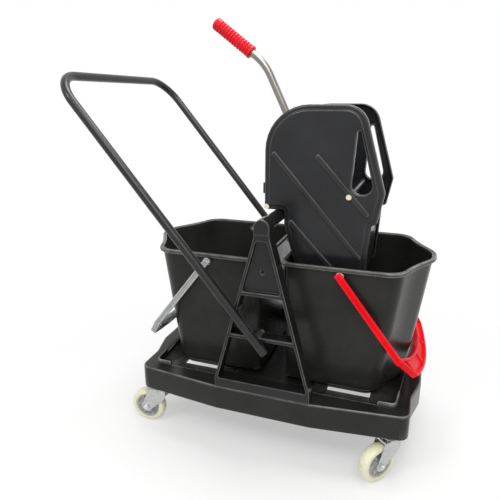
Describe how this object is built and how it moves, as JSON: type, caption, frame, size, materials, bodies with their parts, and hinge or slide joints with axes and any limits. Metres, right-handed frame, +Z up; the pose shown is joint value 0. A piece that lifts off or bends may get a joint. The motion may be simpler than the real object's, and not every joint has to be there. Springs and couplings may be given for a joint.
{
  "type": "double mop bucket trolley",
  "caption": "Black moulded trolley on swivel casters with lift-out buckets, a bent push handle, ladder frames and a lever-worked side-press mop wringer.",
  "frame": {"origin": "on the floor under the middle of the chassis, midway between the four swivel axes", "axes": "+X along the trolley towards the wringer's bucket, +Y away from the picture's near side, +Z up"},
  "size_m": [0.9166, 0.558, 1.0951],
  "materials": {
    "black_moulding": "satin moulded black",
    "bucket_black": "satin moulded black",
    "wringer_black": "satin moulded black",
    "black_tube": "satin black paint",
    "black_cap": "matt black",
    "zinc_caster": "bright zinc plate",
    "zinc_fastener": "bright zinc plate",
    "yellow_zinc": "pale yellow zinc plate",
    "steel_shaft": "bare steel",
    "lever_steel": "warm grey steel",
    "hub_grey": "matt grey",
    "tyre_pale": "matt cream grey",
    "bail_grey": "satin mid grey",
    "bail_red": "bright red",
    "grip_red": "bright red"
  },
  "bodies": {
    "trolley": {"chassis": "black_moulding", "front_a_frame": "black_moulding", "rear_a_frame": "black_moulding", "cross_bar": "black_tube", "push_handle": "black_tube", "push_handle_plugs": "black_cap", "push_handle_bolts": "zinc_fastener", "a_frame_screws": "zinc_fastener", "caster_screws": "zinc_fastener", "caster_plate_front_left": "zinc_caster", "caster_plate_front_right": "zinc_caster", "caster_plate_rear_left": "zinc_caster", "caster_plate_rear_right": "zinc_caster", "caster_kingpin_front_left": "zinc_fastener", "caster_kingpin_front_right": "zinc_fastener", "caster_kingpin_rear_left": "zinc_fastener", "caster_kingpin_rear_right": "zinc_fastener"},
    "left_tub": {"left_bucket": "bucket_black"},
    "left_carry_handle": {"left_bail": "bail_grey"},
    "right_tub": {"right_bucket": "bucket_black"},
    "right_carry_handle": {"right_bail": "bail_red"},
    "wringer": {"wringer_front_plate": "wringer_black", "wringer_rear_plate": "wringer_black", "wringer_back_wall": "wringer_black", "wringer_strainer": "wringer_black", "wringer_tie_bolts": "yellow_zinc", "wringer_tie_nuts": "yellow_zinc", "wringer_tie_spacer": "wringer_black"},
    "press": {"press_shaft": "steel_shaft", "press_plate": "wringer_black", "lever_clamp": "wringer_black", "lever_tube": "lever_steel", "lever_grip": "grip_red"},
    "swivel_front_left": {"caster_fork_front_left": "zinc_caster", "caster_axle_front_left": "zinc_fastener"},
    "wheel_front_left": {"wheel_hub_front_left": "hub_grey", "wheel_tyre_front_left": "tyre_pale"},
    "swivel_front_right": {"caster_fork_front_right": "zinc_caster", "caster_axle_front_right": "zinc_fastener"},
    "wheel_front_right": {"wheel_hub_front_right": "hub_grey", "wheel_tyre_front_right": "tyre_pale"},
    "swivel_rear_left": {"caster_fork_rear_left": "zinc_caster", "caster_axle_rear_left": "zinc_fastener"},
    "wheel_rear_left": {"wheel_hub_rear_left": "hub_grey", "wheel_tyre_rear_left": "tyre_pale"},
    "swivel_rear_right": {"caster_fork_rear_right": "zinc_caster", "caster_axle_rear_right": "zinc_fastener"},
    "wheel_rear_right": {"wheel_hub_rear_right": "hub_grey", "wheel_tyre_rear_right": "tyre_pale"}
  },
  "joints": [
    {"name": "left_bucket_lift", "type": "slide", "parent": "trolley", "child": "left_tub", "axis": [0, 0, 1], "range_m": [0, 0.1]},
    {"name": "left_bail_swing", "type": "hinge", "parent": "left_tub", "child": "left_carry_handle", "pos_m": [-0.17, 0, 0.502], "axis": [0, 1, 0], "range_deg": [0, 142]},
    {"name": "right_bucket_lift", "type": "slide", "parent": "trolley", "child": "right_tub", "axis": [0, 0, 1], "range_m": [0, 0.024]},
    {"name": "right_bail_swing", "type": "hinge", "parent": "right_tub", "child": "right_carry_handle", "pos_m": [0.17, 0, 0.502], "axis": [0, -1, 0], "range_deg": [0, 115]},
    {"name": "wringer_lift", "type": "slide", "parent": "trolley", "child": "wringer", "axis": [0, 0, 1], "range_m": [0, 0.25]},
    {"name": "lever_press", "type": "hinge", "parent": "wringer", "child": "press", "pos_m": [0.047, 0, 0.731], "axis": [0, -1, 0], "range_deg": [0, 32]},
    {"name": "swivel_front_left", "type": "hinge", "parent": "trolley", "child": "swivel_front_left", "pos_m": [-0.318, -0.197, 0.11], "axis": [0, 0, 1], "continuous": true},
    {"name": "roll_front_left", "type": "hinge", "parent": "swivel_front_left", "child": "wheel_front_left", "pos_m": [-0.35795, -0.19909, 0.05], "axis": [0.0523, -0.9986, 0], "continuous": true},
    {"name": "swivel_front_right", "type": "hinge", "parent": "trolley", "child": "swivel_front_right", "pos_m": [0.318, -0.197, 0.11], "axis": [0, 0, 1], "continuous": true},
    {"name": "roll_front_right", "type": "hinge", "parent": "swivel_front_right", "child": "wheel_front_right", "pos_m": [0.29124, -0.22673, 0.05], "axis": [0.7431, -0.6691, 0], "continuous": true},
    {"name": "swivel_rear_left", "type": "hinge", "parent": "trolley", "child": "swivel_rear_left", "pos_m": [-0.318, 0.197, 0.11], "axis": [0, 0, 1], "continuous": true},
    {"name": "roll_rear_left", "type": "hinge", "parent": "swivel_rear_left", "child": "wheel_rear_left", "pos_m": [-0.35559, 0.21068, 0.05], "axis": [-0.342, -0.9397, 0], "continuous": true},
    {"name": "swivel_rear_right", "type": "hinge", "parent": "trolley", "child": "swivel_rear_right", "pos_m": [0.318, 0.197, 0.11], "axis": [0, 0, 1], "continuous": true},
    {"name": "roll_rear_right", "type": "hinge", "parent": "swivel_rear_right", "child": "wheel_rear_right", "pos_m": [0.28041, 0.18332, 0.05], "axis": [0.342, -0.9397, 0], "continuous": true}
  ]
}
